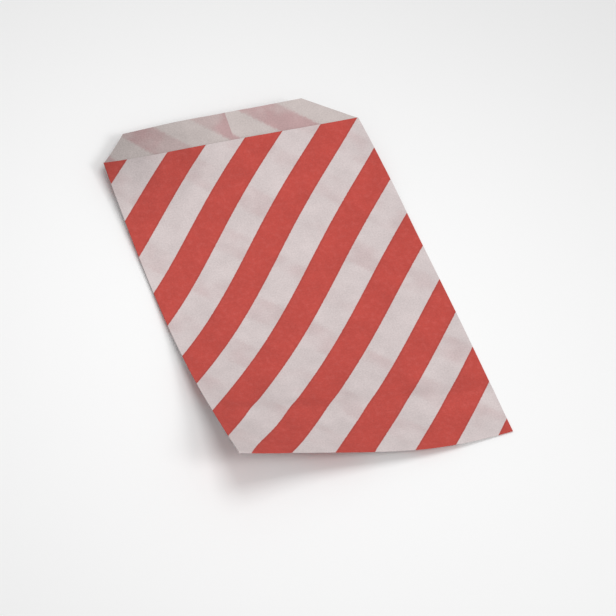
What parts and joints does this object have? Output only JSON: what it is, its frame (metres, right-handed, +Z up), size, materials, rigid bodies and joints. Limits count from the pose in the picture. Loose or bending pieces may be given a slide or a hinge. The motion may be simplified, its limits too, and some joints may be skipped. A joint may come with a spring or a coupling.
{
  "type": "paper candy bag",
  "caption": "Flat striped paper bag lying on its back: folded sides, glued back seam, bottom flap folded under, and a lip with cut corners past the open mouth.",
  "frame": {"origin": "middle of the bag's outline, on the flat surface that it lies on", "axes": "+Z up through the front panel, +Y from the bottom fold to the open mouth, +X to the right when looking along +Y"},
  "size_m": [0.127, 0.1902, 0.0226],
  "materials": {
    "paper": "matte"
  },
  "bodies": {
    "root": {"candy_bag": "paper"}
  },
  "joints": []
}
